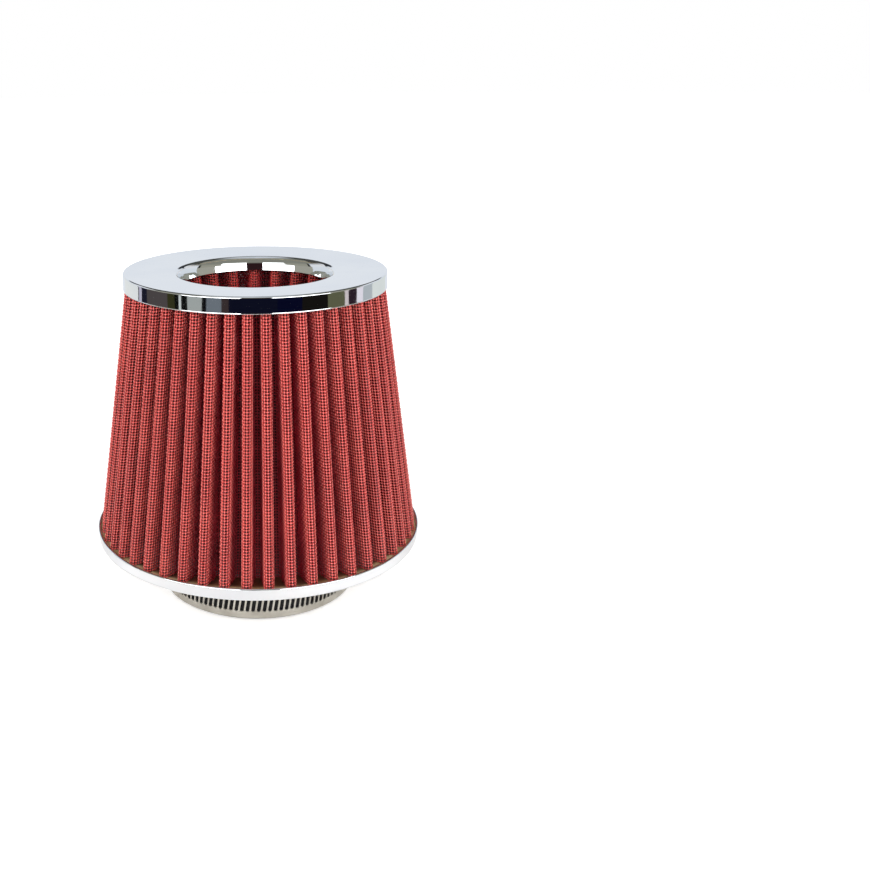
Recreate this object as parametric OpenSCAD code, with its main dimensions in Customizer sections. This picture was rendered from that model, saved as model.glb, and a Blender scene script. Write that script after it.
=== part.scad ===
// Clamp-on cone air filter with an inverted inner cone. Millimetres, +Z up,
// origin on the axis at the open end of the rubber neck, which it stands on.

/* [Overall] */
// Height from the end of the neck to the top plate
height = 153.5; // [130:0.5:200]
// Outer diameter of the base pan
base_d = 155; // [150:1:175]
// Outer diameter of the top cap
top_d = 119.5; // [116:0.5:140]

/* [Top cap] */
// Thickness of the top cap's steel
cap_sheet = 0.6; // [0.5:0.1:1]
// Depth of the outer lip
cap_lip = 7.2; // [5:0.1:9]
// Radius of the outer edge
cap_round = 2; // [1:0.1:2.5]
// Width of the plate, from the outer edge to where it rolls down into the hole
plate_w = 24.5; // [23:0.25:27]
// How far the plate falls from its outer edge to the hole
plate_fall = 1; // [0:0.1:1.5]
// Radius of the rolled edge of the hole
hole_round = 1.8; // [1.2:0.1:3]
// Depth of the hole's inner lip
hole_lip = 6; // [4:0.1:9]
// How far the inner lip draws in towards its lower edge
hole_draw = 1.4; // [0:0.1:2]
// Depth of the resin under the top plate
top_resin = 4; // [2:0.1:5]

/* [Base pan] */
// Height of the pan's underside above the end of the neck
pan_z = 26; // [22:1:40]
// Height of the pan's rim
pan_rim = 6; // [5:0.1:10]
// Thickness of the pan's steel
pan_sheet = 0.8; // [0.5:0.1:1.2]
// Radius of the pan's lower edge
pan_round = 1.6; // [1.2:0.1:3]
// Depth of the resin in the pan
base_resin = 3.5; // [2:0.1:4]

/* [Neck] */
// Bore of the neck
bore_d = 76; // [70:0.5:80]
// Wall of the neck
neck_wall = 7.5; // [5:0.1:8]
// How far the neck's groove grips the pan
grip = 3; // [2:0.1:4]
// Reach of the neck's shoulders past its wall
shoulder = 3; // [2:0.1:5]
// Thickness of each shoulder
shoulder_t = 3; // [2:0.1:4]
// Chamfer at the open end
neck_chamfer = 0.8; // [0.3:0.1:1.5]

/* [Outer cone] */
// Number of pleats
outer_pleats = 48; // [44:1:50]
// Radial depth of a pleat
outer_depth = 12; // [10:0.1:13]
// Radius of a ridge
outer_ridge = 2.25; // [2:0.05:2.4]
// Radius of a valley
outer_valley = 1.2; // [1:0.05:1.3]
// Gap between the pleats and the pan's rim
pan_gap = 0.4; // [0.2:0.1:2]
// Gap between the pleats and the lips of the top cap
lip_gap = 0.2; // [0.1:0.1:0.6]
// Lean of the pleats round the axis, from bottom to top, in degrees
outer_lean = 0.9; // [0:0.1:5]

/* [Inner cone] */
// Number of pleats
inner_pleats = 22; // [20:1:24]
// Length of the pleats
inner_len = 88; // [60:1:95]
// Radial depth of a pleat
inner_depth = 8; // [6:0.1:9]
// Radius of the ridges' circle at the lower end
inner_tip_r = 22; // [20:0.5:26]
// Radius of a ridge
inner_ridge = 2.2; // [2:0.05:2.3]
// Radius of a valley
inner_valley = 1.6; // [1:0.05:1.8]
// Thickness of the end cap's steel
end_sheet = 0.6; // [0.4:0.1:1]
// Height of the end cap's rim
end_rim = 6; // [4:0.1:10]
// Depth of the resin in the end cap
end_resin = 2.5; // [1.5:0.1:3.5]

/* [Filter layers] */
// Thickness of a woven wire screen
screen_t = 0.4; // [0.3:0.05:0.45]
// Thickness of the cotton
cotton_t = 0.7; // [0.5:0.05:0.75]
// Thickness of a seam clip
clip_t = 0.4; // [0.2:0.05:0.4]

/* [Clamp] */
// Height of the band's lower edge
clamp_z = 0.8; // [0.8:0.1:6]
// Width of the band
band_w = 12.7; // [9:0.1:13]
// Thickness of the band
band_t = 0.7; // [0.5:0.1:0.8]
// Length of a slot
slot_l = 6.5; // [5:0.1:8]
// Width of a slot
slot_w = 1.3; // [1:0.1:1.5]
// Distance from slot to slot
slot_pitch = 2.6; // [2.6:0.1:3.6]
// Slant of a slot in degrees
slot_slant = 9; // [0:1:12]
// Length of the screw housing
housing_l = 13; // [11:0.1:16]
// Thickness of the housing's steel
housing_t = 0.6; // [0.4:0.1:0.65]
// Radius of the worm
worm_r = 3.6; // [3.2:0.1:4]
// Hexagon of the screw head across its flats
hex_af = 7; // [6:0.1:7.2]
// Length of the screw head
head_l = 5.2; // [4:0.1:7]

/* [Hidden] */
$fn = 96;
cut = 1; // Overrun of cuts

// Steps of the rounded edges, and of half a ridge and half a valley
edge_steps = 6;
ridge_steps = 2;
valley_steps = 1;

// Top cap
hem_r = 0.55;
hem_stand = 0.2;
top_r = top_d / 2;
lip_r = top_r - hem_stand;
hole_r = top_r - plate_w;
hole_lip_r = hole_r - hole_round;
hole_z = height - plate_fall;

// Base pan
base_r = base_d / 2;
pan_wall_r = base_r - hem_stand;
neck_r = bore_d / 2 + neck_wall;
pan_hole_r = neck_r - grip;
shoulder_r = neck_r + shoulder;

// Pleats: where they end, and the circles of their ridges and valleys there
pleat_bottom = pan_z + pan_sheet + base_resin;
pleat_top = hole_z - cap_sheet - top_resin;
layers_t = 2 * screen_t + cotton_t;
outer_bottom_r = pan_wall_r - pan_sheet - pan_gap;
outer_top_r = lip_r - cap_sheet - lip_gap;
outer_phase = -86.2;
inner_top_r = hole_lip_r + cap_sheet + lip_gap;
inner_bottom = pleat_top - inner_len;
inner_phase = 90.8;

// End cap of the inner cone
end_gap = 0.6;
end_r = inner_tip_r + inner_depth + layers_t + clip_t + end_gap + end_sheet;
end_z = inner_bottom - end_resin - end_sheet;
end_dish_share = 0.45;
end_rise = 2;

// Clamp: its layers, its lap, and the housing at the back
band_r = neck_r;
lap_gap = 0.1;
lap_r = band_r + band_t + lap_gap;
lap_out_r = lap_r + band_t;
band_mid = clamp_z + band_w / 2;
housing_a = 90;
band_start_a = housing_a - 15;
ramp_a = 10;
tail_a = 35;
ramp_end_a = band_start_a - ramp_a + 360;
ramp_start_a = ramp_end_a - ramp_a;
tail_end_a = housing_a + tail_a + 360;
slot_step_a = 2 * asin(slot_pitch / 2 / (band_r + band_t));
saddle_t = 0.6;
saddle_a = 12;
side_gap = 0.15;
cover_gap = 0.4;
housing_in_w = band_w + 2 * side_gap;
housing_w = housing_in_w + 2 * housing_t;
worm_gap = 0.3;
tooth_share = 0.7; // Of the band's thickness, how far the thread reaches
worm_root_r = worm_r - tooth_share * band_t - side_gap;
thread_shares = [0.2, 0.45, 0.75]; // Of the thread's pitch: end of its root, start and end of its crest
worm_y = lap_out_r + worm_gap + worm_r;
flange_y = lap_out_r + cover_gap + housing_t;
arch_in_r = worm_r + cover_gap;
arch_r = arch_in_r + housing_t;
journal_r = 2.4;
journal_gap = 0.05;
worm_l = housing_l - 2 * housing_t - 2 * worm_gap;
collar_l = 1;
collar_r = worm_r + cover_gap;
head_x = housing_l / 2 + worm_gap;
tip_l = 1;
driver_w = 1.2;
driver_depth = 2;

function turn(p, a) = [p.x * cos(a) - p.y * sin(a), p.x * sin(a) + p.y * cos(a)];

// Arc of points about c, from angle a0 to a1
function arc(c, r, a0, a1, steps) =
    [for (i = [0 : steps]) c + r * [cos(a0 + (a1 - a0) * i / steps), sin(a0 + (a1 - a0) * i / steps)]];

// Angle at which a pleat's ridge arc runs into its straight flank.
// face is 1 for ridges that point outward and -1 for ridges that point at the axis.
function flank(ridge_c, valley_c, radii, face) =
    let (line = valley_c - ridge_c)
    atan2(line.y, line.x) - face * acos(radii / norm(line));

// Centres of one pleat's ridge and valley arcs, the ridge at angle 0
function ridge_centre(tip, ridge, face) = [tip - face * ridge, 0];
function valley_centre(root, valley, face, half) =
    (root + face * valley) * [cos(half), sin(half)];

// Half of one pleat, from its tip to its root, at a depth below its visible face
function half_pleat(tip, root, ridge, valley, depth, face, half) =
    let (rc = ridge_centre(tip, ridge, face))
    let (vc = valley_centre(root, valley, face, half))
    let (a = flank(rc, vc, ridge + valley, face))
    let (tip_a = face > 0 ? 0 : 180)
    let (root_a = half + (face > 0 ? 180 : 360))
    concat(arc(rc, ridge - depth, tip_a, a, ridge_steps),
        arc(vc, valley + depth, a + 180, root_a, valley_steps));

// One level of a pleated surface, all the way round
function pleat_ring(pleats, tip, root, ridge, valley, depth, face, phase, z) =
    let (half = 180 / pleats)
    let (right = half_pleat(tip, root, ridge, valley, depth, face, half))
    let (last = len(right) - 1)
    let (left = [for (i = [last - 1 : -1 : 1]) [right[i].x, -right[i].y]])
    [for (k = [0 : pleats - 1]) for (p = concat(left, right))
        let (q = turn(p, phase + 2 * half * k)) [q.x, q.y, z]];

// The plenum side of one valley, where a seam clip sits
function clip_arc(root, tip, ridge, valley, depth, face, half, phase, z) =
    let (rc = ridge_centre(tip, ridge, face))
    let (vc = valley_centre(root, valley, face, half))
    let (a0 = flank(rc, vc, ridge + valley, face) + 180)
    let (root_a = half + (face > 0 ? 180 : 360))
    [for (p = arc(vc, valley + depth, a0, 2 * root_a - a0, 2 * valley_steps))
        let (q = turn(p, phase)) [q.x, q.y, z]];

// Skin between four rows of points: outside bottom and top, inside bottom and top
function quad(a, b, c, d) = [[a, b, c], [a, c, d]];
function skin_faces(n, closed) =
    [for (i = [0 : closed ? n - 1 : n - 2]) let (j = (i + 1) % n)
        each concat(quad(i, n + i, n + j, j), quad(2 * n + i, 2 * n + j, 3 * n + j, 3 * n + i),
            quad(i, j, 2 * n + j, 2 * n + i), quad(n + i, 3 * n + i, 3 * n + j, n + j))];
function end_faces(n) = concat(quad(0, 2 * n, 3 * n, n),
    quad(n - 1, 2 * n - 1, 4 * n - 1, 3 * n - 1));

module skin(rows, closed) {
    n = len(rows[0]);
    polyhedron(points = concat(rows[0], rows[1], rows[2], rows[3]),
        faces = closed ? skin_faces(n, true) : concat(skin_faces(n, false), end_faces(n)));
}

module outer_layer(d0, d1) {
    skin([for (d = [d0, d1]) for (top = [false, true])
        let (tip = top ? outer_top_r : outer_bottom_r)
        pleat_ring(outer_pleats, tip, tip - outer_depth, outer_ridge, outer_valley, d, 1,
            outer_phase + (top ? outer_lean / 2 : -outer_lean / 2), top ? pleat_top : pleat_bottom)],
        true);
}

module inner_layer(d0, d1) {
    skin([for (d = [d1, d0]) for (top = [false, true])
        let (tip = top ? inner_top_r : inner_tip_r)
        pleat_ring(inner_pleats, tip, tip + inner_depth, inner_ridge, inner_valley, d, -1,
            inner_phase, top ? pleat_top : inner_bottom)],
        true);
}

module ring(r0, r1, z0, z1) {
    translate([0, 0, z0])
        difference() {
            cylinder(r = r1, h = z1 - z0);
            translate([0, 0, -cut])
                cylinder(r = r0, h = z1 - z0 + 2 * cut);
        }
}

// Wedge from the axis, between two angles less than a half turn apart
module wedge(a0, a1, r, z0, z1) {
    translate([0, 0, z0])
        linear_extrude(z1 - z0)
            polygon(concat([[0, 0]], arc([0, 0], r / cos((a1 - a0) / 4), a0, a1, 2)));
}

module ring_part(r0, r1, z0, z1, a0, a1) {
    intersection() {
        ring(r0, r1, z0, z1);
        wedge(a0, a1, 2 * r1, z0 - cut, z1 + cut);
    }
}

module top_cap() {
    color("gainsboro") {
        rotate_extrude()
            polygon(concat(
                arc([lip_r - cap_round, height - cap_round], cap_round, 0, 90, edge_steps),
                arc([hole_r, hole_z - hole_round], hole_round, 90, 180, edge_steps),
                [[hole_lip_r - hole_draw, hole_z - hole_lip],
                    [hole_lip_r - hole_draw + cap_sheet, hole_z - hole_lip]],
                arc([hole_r, hole_z - hole_round], hole_round - cap_sheet, 180, 90, edge_steps),
                arc([lip_r - cap_round, height - cap_round], cap_round - cap_sheet, 90, 0, edge_steps),
                [[lip_r - cap_sheet, height - cap_lip + hem_r], [lip_r, height - cap_lip + hem_r]]));
        translate([0, 0, height - cap_lip + hem_r])
            rotate_extrude()
                translate([top_r - hem_r, 0])
                    circle(r = hem_r, $fn = 24);
    }
}

module top_potting() {
    color("tan")
        rotate_extrude()
            polygon([[hole_r, pleat_top], [lip_r - cap_sheet, pleat_top],
                [lip_r - cap_sheet, height - cap_round], [lip_r - cap_round, height - cap_sheet],
                [hole_r, pleat_top + top_resin]]);
}

module outer_mesh() {
    color("indianred")
        outer_layer(0, screen_t);
}

module outer_media() {
    color("firebrick")
        outer_layer(screen_t, screen_t + cotton_t);
}

module outer_backing_mesh() {
    color("indianred")
        outer_layer(screen_t + cotton_t, layers_t);
}

module outer_seam_clip() {
    color("silver")
        skin([for (d = [layers_t, layers_t + clip_t]) for (top = [false, true])
            let (tip = top ? outer_top_r : outer_bottom_r)
            clip_arc(tip - outer_depth, tip, outer_ridge, outer_valley, d, 1, 180 / outer_pleats,
                outer_phase + 180 + (top ? outer_lean / 2 : -outer_lean / 2),
                top ? pleat_top : pleat_bottom)],
            false);
}

module inner_mesh() {
    color("indianred")
        inner_layer(0, screen_t);
}

module inner_media() {
    color("firebrick")
        inner_layer(screen_t, screen_t + cotton_t);
}

module inner_backing_mesh() {
    color("indianred")
        inner_layer(screen_t + cotton_t, layers_t);
}

module inner_seam_clip() {
    color("silver")
        skin([for (d = [layers_t + clip_t, layers_t]) for (top = [false, true])
            let (tip = top ? inner_top_r : inner_tip_r)
            clip_arc(tip + inner_depth, tip, inner_ridge, inner_valley, d, -1, 180 / inner_pleats,
                inner_phase, top ? pleat_top : inner_bottom)],
            false);
}

module inner_end_cap() {
    dish_r = end_dish_share * end_r;
    color("silver")
        translate([0, 0, end_z])
            rotate_extrude()
                polygon([[0, end_rise], [dish_r, end_rise], [dish_r + end_rise, 0], [end_r, 0],
                    [end_r, end_rim], [end_r - end_sheet, end_rim], [end_r - end_sheet, end_sheet],
                    [dish_r + end_rise + end_sheet / 2, end_sheet],
                    [dish_r + end_sheet / 2, end_rise + end_sheet], [0, end_rise + end_sheet]]);
}

module inner_potting() {
    color("tan")
        ring(end_dish_share * end_r + end_rise + end_sheet, end_r - end_sheet,
            end_z + end_sheet, inner_bottom);
}

module base_pan() {
    rim_z = pan_z + pan_rim;
    color("gainsboro") {
        rotate_extrude()
            polygon(concat([[pan_hole_r, pan_z]],
                arc([pan_wall_r - pan_round, pan_z + pan_round], pan_round, -90, 0, edge_steps),
                [[pan_wall_r, rim_z - hem_r], [pan_wall_r - pan_sheet, rim_z - hem_r]],
                arc([pan_wall_r - pan_round, pan_z + pan_round], pan_round - pan_sheet, 0, -90, edge_steps),
                [[pan_hole_r, pan_z + pan_sheet]]));
        translate([0, 0, rim_z - hem_r])
            rotate_extrude()
                translate([base_r - hem_r, 0])
                    circle(r = hem_r, $fn = 24);
    }
}

module base_potting() {
    color("tan")
        rotate_extrude()
            polygon([[shoulder_r, pan_z + pan_sheet], [pan_wall_r - pan_round, pan_z + pan_sheet],
                [pan_wall_r - pan_sheet, pan_z + pan_round], [pan_wall_r - pan_sheet, pleat_bottom],
                [shoulder_r, pleat_bottom]]);
}

module saddle_solid(z0, z1) {
    ring_part(band_r - saddle_t, band_r, z0, z1, housing_a - saddle_a, housing_a + saddle_a);
}

module neck() {
    top = pan_z + pan_sheet;
    color("#1c1c1e")
        difference() {
            rotate_extrude()
                polygon([[bore_d / 2 + neck_chamfer, 0], [neck_r, 0], [neck_r, pan_z - shoulder_t],
                    [shoulder_r, pan_z - shoulder_t], [shoulder_r, pan_z], [pan_hole_r, pan_z],
                    [pan_hole_r, top], [shoulder_r, top], [shoulder_r, top + shoulder_t],
                    [bore_d / 2, top + shoulder_t], [bore_d / 2, neck_chamfer]]);
            saddle_solid(-cut, band_mid + housing_w / 2);
        }
}

module slot(a, r0, r1) {
    rotate([0, 0, a])
        translate([(r0 + r1) / 2, 0, band_mid])
            rotate([-slot_slant, 0, 0])
                cube([r1 - r0, slot_w, slot_l], center = true);
}

// Radius of the band's inner face along its length, which laps over its own start
function band_radius(a) = lookup(a, [[ramp_start_a, band_r], [ramp_end_a, lap_r]]);
function band_angle(k) = band_start_a + k * slot_step_a;

// The strip is bent in flats, one for each slot. Flats on the ramp and at the ends have none.
module clamp_band() {
    flats = floor((tail_end_a - band_start_a) / slot_step_a);
    color("lightgray")
        difference() {
            translate([0, 0, clamp_z])
                linear_extrude(band_w)
                    polygon([for (side = [0, 1]) for (i = [0 : flats])
                        let (a = band_angle(side == 0 ? i : flats - i))
                        let (r = (band_radius(a) + side * band_t) / cos(slot_step_a / 2))
                        r * [cos(a), sin(a)]]);
            for (k = [0 : flats - 2]) {
                a = band_angle(k + 0.5);
                if (a > tail_end_a - 360 + slot_step_a && a < ramp_start_a - slot_step_a)
                    slot(a, band_r - cut, lap_out_r + cut);
                if (a > ramp_end_a + slot_step_a)
                    slot(a, lap_r - lap_gap / 2, lap_out_r + cut);
            }
        }
}

module clamp_saddle() {
    color("lightgray")
        saddle_solid(band_mid - housing_w / 2, band_mid + housing_w / 2);
}

// Block across the housing, centred on the band's middle line
module across(l, w, y0, y1) {
    translate([-l / 2, y0, band_mid - w / 2])
        cube([l, y1 - y0, w]);
}

module round_bar(r, x0, x1) {
    translate([x0, worm_y, band_mid])
        rotate([0, 90, 0])
            cylinder(r = r, h = x1 - x0);
}

module clamp_housing() {
    in_l = housing_l - 2 * housing_t;
    color("silver")
        difference() {
            union() {
                across(housing_l, housing_w, band_r - cut, flange_y);
                across(housing_l, 2 * arch_r, band_r - cut, worm_y);
                round_bar(arch_r, -housing_l / 2, housing_l / 2);
            }
            cylinder(r = band_r, h = clamp_z + 2 * band_w);
            across(housing_l + 2 * cut, housing_in_w, band_r - 2 * cut, flange_y - housing_t);
            across(in_l, 2 * arch_in_r, band_r - 2 * cut, worm_y);
            round_bar(arch_in_r, -in_l / 2, in_l / 2);
            round_bar(journal_r + journal_gap, -housing_l / 2 - cut, housing_l / 2 + cut);
        }
}

module clamp_screw() {
    turns = floor(worm_l / slot_pitch);
    thread_pitch = worm_l / turns;
    color("silver")
        difference() {
            union() {
                round_bar(journal_r, -housing_l / 2 - tip_l, head_x + collar_l);
                translate([-worm_l / 2, worm_y, band_mid])
                    rotate([0, 90, 0])
                        rotate_extrude()
                            polygon(concat([[0, 0]],
                                [for (i = [0 : turns - 1]) for (p = [[worm_root_r, 0],
                                    [worm_root_r, thread_shares[0]], [worm_r, thread_shares[1]],
                                    [worm_r, thread_shares[2]]]) [p.x, (i + p.y) * thread_pitch]],
                                [[worm_root_r, worm_l], [0, worm_l]]));
                round_bar(collar_r, head_x, head_x + collar_l);
                translate([head_x + collar_l, worm_y, band_mid])
                    rotate([0, 90, 0])
                        cylinder(r = hex_af / 2 / cos(30), h = head_l, $fn = 6);
            }
            translate([head_x + collar_l + head_l - driver_depth, worm_y - hex_af, band_mid - driver_w / 2])
                cube([driver_depth + cut, 2 * hex_af, driver_w]);
        }
}

top_cap();
top_potting();
outer_mesh();
outer_media();
outer_backing_mesh();
outer_seam_clip();
inner_mesh();
inner_media();
inner_backing_mesh();
inner_seam_clip();
inner_end_cap();
inner_potting();
base_pan();
base_potting();
neck();
clamp_band();
clamp_saddle();
clamp_housing();
clamp_screw();
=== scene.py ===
import math

import bmesh
import bpy
from mathutils import Matrix, Vector, noise


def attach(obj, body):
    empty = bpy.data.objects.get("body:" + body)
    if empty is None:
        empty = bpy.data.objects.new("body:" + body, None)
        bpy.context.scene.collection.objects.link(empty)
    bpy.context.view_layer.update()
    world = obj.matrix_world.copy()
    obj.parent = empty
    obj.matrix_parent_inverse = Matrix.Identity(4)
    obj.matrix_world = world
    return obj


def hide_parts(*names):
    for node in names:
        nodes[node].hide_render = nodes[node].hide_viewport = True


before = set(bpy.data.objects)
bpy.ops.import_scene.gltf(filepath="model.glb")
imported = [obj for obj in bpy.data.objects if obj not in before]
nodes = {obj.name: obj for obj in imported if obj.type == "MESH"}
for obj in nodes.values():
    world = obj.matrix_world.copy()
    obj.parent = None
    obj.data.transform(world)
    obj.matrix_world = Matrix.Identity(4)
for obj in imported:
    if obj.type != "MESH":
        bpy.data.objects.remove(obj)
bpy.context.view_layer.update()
mm = 0.001
waveBands = 20  # bands in a metre of a wave texture at scale 1
maths, vectorMaths, mapRange, mix = "ShaderNodeMath", "ShaderNodeVectorMath", "ShaderNodeMapRange", "ShaderNodeMix"
noiseTexture, colourRamp, bump = "ShaderNodeTexNoise", "ShaderNodeValToRGB", "ShaderNodeBump"


def linear(hexColour, strength=1.0):
    # sRGB hex to the linear values that Blender's sockets hold
    levels = [int(hexColour[i:i + 2], 16) / 255 for i in (0, 2, 4)]
    return [strength * (c / 12.92 if c <= 0.04045 else ((c + 0.055) / 1.055) ** 2.4) for c in levels] + [1.0]


def fillInputs(tree, node, values):
    # Sets or links a node's inputs. A node given as a value is linked by its first open output.
    for key, value in values.items():
        if isinstance(value, bpy.types.Node):
            value = next(socket for socket in value.outputs if socket.enabled)
        if isinstance(value, bpy.types.NodeSocket):
            tree.links.new(value, node.inputs[key])
        else:
            node.inputs[key].default_value = value


def addNode(tree, kind, inputs=None, stops=(), **settings):
    # Adds a node, sets its properties and fills its inputs. Stops are a ramp's places and colours.
    node = tree.nodes.new(kind)
    for label, value in settings.items():
        setattr(node, label, value)
    fillInputs(tree, node, inputs or {})
    for _ in stops[2:]:
        node.color_ramp.elements.new(0.5)
    for element, (place, hexColour) in zip(node.color_ramp.elements if stops else (), stops):
        element.position = place
        element.color = linear(hexColour)
    return node


def newMaterial(name, **surface):
    # A Principled surface, whose values go on its own sockets, and the point that its patterns start from
    material = bpy.data.materials.new(name)
    material.use_nodes = True
    tree = material.node_tree
    shader = tree.nodes["Principled BSDF"]
    for label, value in surface.items():
        shader.inputs[label.replace("_", " ")].default_value = value
    return material, tree, shader, addNode(tree, "ShaderNodeTexCoord").outputs["Object"]


def chromePlate():
    # Chrome plate on pressed steel: a mirror, faintly blue, with the long low waves that pressing leaves
    material, tree, shader, point = newMaterial("chromePlateOnPressedSteel", Metallic=1.0, Roughness=0.05)
    waves = addNode(tree, noiseTexture, {"Vector": point, "Scale": 38.0, "Detail": 2.0})
    haze = addNode(tree, noiseTexture, {"Vector": point, "Scale": 220.0, "Detail": 4.0})
    fillInputs(tree, shader, {
        "Base Color": addNode(tree, colourRamp, {"Fac": waves}, stops=((0.3, "e9edf2"), (0.7, "f1f4f6"))),
        "Roughness": addNode(tree, mapRange, {
            "Value": haze, "From Min": 0.35, "From Max": 0.75, "To Min": 0.03, "To Max": 0.08}),
        "Normal": addNode(tree, bump, {"Height": waves, "Strength": 0.2, "Distance": 0.4 * mm})})
    return material


def epoxyWire():
    # Epoxy-coated wire: a red coat, dipped, half glossy. It is painted pale on the knuckles, where one wire
    # passes over another, as a painted highlight, and painted darker towards the valleys as painted shade.
    material, tree, shader, point = newMaterial(
        "dippedRedEpoxyOnWire", Roughness=0.36, IOR=1.52, Coat_Weight=0.42, Coat_Roughness=0.22)
    patches = addNode(tree, noiseTexture, {"Vector": point, "Scale": 55.0, "Detail": 3.0})
    grains = addNode(tree, noiseTexture, {"Vector": point, "Scale": 900.0, "Detail": 3.0})
    mixed = addNode(tree, mix, {0: 0.45, 2: patches, 3: grains}, data_type="FLOAT")
    coatRed = addNode(tree, colourRamp, {"Fac": mixed},
                     stops=((0.32, "ac2626"), (0.5, "c0322f"), (0.68, "d04c42")))
    # Painted shade: the darker red that the valleys are painted with
    soaked = addNode(tree, colourRamp, {"Fac": mixed}, stops=((0.35, "76101c"), (0.65, "9c1c28")))
    # Painted highlight: the coat is painted pale pink on the knuckles, where a strand lies on top
    raised = addNode(tree, "ShaderNodeAttribute", attribute_name="raised")
    knuckleHighlight = addNode(tree, mapRange, {
        "Value": raised.outputs["Fac"], "From Min": 0.55, "From Max": 0.98, "To Max": 0.85})
    highlightedCoat = addNode(tree, mix, {0: knuckleHighlight, 6: coatRed, 7: linear("fb928a")}, data_type="RGBA")
    # Painted shade: the further a point lies from its ridge, the more it takes the darker red
    deep = addNode(tree, "ShaderNodeAttribute", attribute_name="fromRidge")
    share = addNode(tree, mapRange, {"Value": deep.outputs["Fac"], "From Min": 0.15, "From Max": 0.62},
                    interpolation_type="SMOOTHSTEP")
    fillInputs(tree, shader, {
        "Base Color": addNode(tree, mix, {0: share, 6: highlightedCoat, 7: soaked}, data_type="RGBA"),
        "Roughness": addNode(tree, mapRange, {
            "Value": grains, "From Min": 0.3, "From Max": 0.7, "To Min": 0.28, "To Max": 0.46}),
        "Normal": addNode(tree, bump, {"Height": grains, "Strength": 0.3, "Distance": 0.08 * mm})})
    return material


def oiledGauze():
    # Oiled cotton gauze: a loose plain weave, wine red, darker in random oil stains, and painted darker in the
    # valleys as painted shade
    material, tree, shader, point = newMaterial(
        "oiledRedCottonGauze", Roughness=0.72, Sheen_Weight=0.15, Sheen_Roughness=0.6)
    threadSpacing = 0.5 * mm
    perMetre = 1 / threadSpacing / waveBands
    cloth = addNode(tree, "ShaderNodeUVMap", uv_map="pleatMap")
    warp, weft = (addNode(tree, "ShaderNodeTexWave", {
        "Vector": cloth, "Scale": perMetre, "Distortion": 1.5, "Detail": 2.0}, bands_direction=way) for way in "XY")
    weave = addNode(tree, maths, {0: warp.outputs["Fac"], 1: weft.outputs["Fac"]}, operation="MULTIPLY")
    stain = addNode(tree, noiseTexture, {"Vector": point, "Scale": 70.0, "Detail": 4.0})
    colour = addNode(tree, colourRamp, {"Fac": stain},
                     stops=((0.3, "260306"), (0.55, "36060b"), (0.75, "480b12")))
    threads = addNode(tree, mapRange, {"Value": weave, "From Min": 0.0, "From Max": 0.8})
    woven = addNode(tree, mix, {0: threads, 6: linear("180204"), 7: colour}, data_type="RGBA")
    # Painted shade: the cloth turns near black the further it lies from its ridge
    deep = addNode(tree, "ShaderNodeAttribute", attribute_name="fromRidge")
    share = addNode(tree, mapRange, {"Value": deep.outputs["Fac"], "From Min": 0.2, "From Max": 0.7})
    fillInputs(tree, shader, {
        "Base Color": addNode(tree, mix, {0: share, 6: woven, 7: linear("260509")}, data_type="RGBA"),
        "Normal": addNode(tree, bump, {"Height": weave, "Strength": 0.6, "Distance": 0.15 * mm})})
    return material


def pottingResin():
    # Cast polyurethane: beige, poured and left to level, with bubbles, and painted red-brown
    # under the pleats as painted shade
    material, tree, shader, point = newMaterial(
        "castBeigePolyurethane", Roughness=0.42, IOR=1.5, Subsurface_Weight=0.08, Subsurface_Scale=1.0 * mm)
    patches = addNode(tree, noiseTexture, {"Vector": point, "Scale": 90.0, "Detail": 4.0})
    pits = addNode(tree, noiseTexture, {"Vector": point, "Scale": 700.0, "Detail": 3.0})
    cast = addNode(tree, colourRamp, {"Fac": patches},
                   stops=((0.3, "a5855a"), (0.5, "cfb68c"), (0.7, "d9c9a4")))
    # Painted shade: red-brown where the pour lies under the pleats
    soaked = addNode(tree, "ShaderNodeAttribute", attribute_name="soaked").outputs["Fac"]
    fillInputs(tree, shader, {
        "Base Color": addNode(tree, mix, {0: soaked, 6: cast, 7: linear("5c3626")}, data_type="RGBA"),
        "Normal": addNode(tree, bump, {"Height": pits, "Strength": 0.4, "Distance": 0.3 * mm})})
    return material


def mouldedRubber():
    # Moulded rubber: near black, satin, with the mould's fine grain and a greyer bloom in patches
    material, tree, shader, point = newMaterial(
        "mouldedBlackRubber", Roughness=0.55, IOR=1.52, Specular_IOR_Level=0.2)
    bloom = addNode(tree, noiseTexture, {"Vector": point, "Scale": 60.0, "Detail": 4.0})
    grain = addNode(tree, noiseTexture, {"Vector": point, "Scale": 1600.0, "Detail": 2.0})
    fillInputs(tree, shader, {
        "Base Color": addNode(tree, colourRamp, {"Fac": bloom}, stops=((0.35, "0c0c0d"), (0.7, "18181a"))),
        "Roughness": addNode(tree, mapRange, {
            "Value": bloom, "From Min": 0.3, "From Max": 0.7, "To Min": 0.48, "To Max": 0.66}),
        "Normal": addNode(tree, bump, {"Height": grain, "Strength": 0.25, "Distance": 0.08 * mm})})
    return material


def rolledStainless():
    # Rolled stainless strip: warm grey, satin, brushed along its length
    material, tree, shader, point = newMaterial("rolledStainlessStrip", Metallic=1.0, Roughness=0.3)
    along = addNode(tree, "ShaderNodeMapping", {"Vector": point, "Scale": (30.0, 30.0, 2600.0)})
    lines = addNode(tree, noiseTexture, {"Vector": along, "Scale": 1.0, "Detail": 2.0})
    stain = addNode(tree, noiseTexture, {"Vector": point, "Scale": 120.0, "Detail": 3.0})
    fillInputs(tree, shader, {
        "Base Color": addNode(tree, colourRamp, {"Fac": stain}, stops=((0.35, "c8c3b8"), (0.7, "dedad0"))),
        "Roughness": addNode(tree, mapRange, {
            "Value": lines, "From Min": 0.3, "From Max": 0.7, "To Min": 0.24, "To Max": 0.40}),
        "Normal": addNode(tree, bump, {"Height": lines, "Strength": 0.2, "Distance": 0.03 * mm})})
    return material


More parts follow.
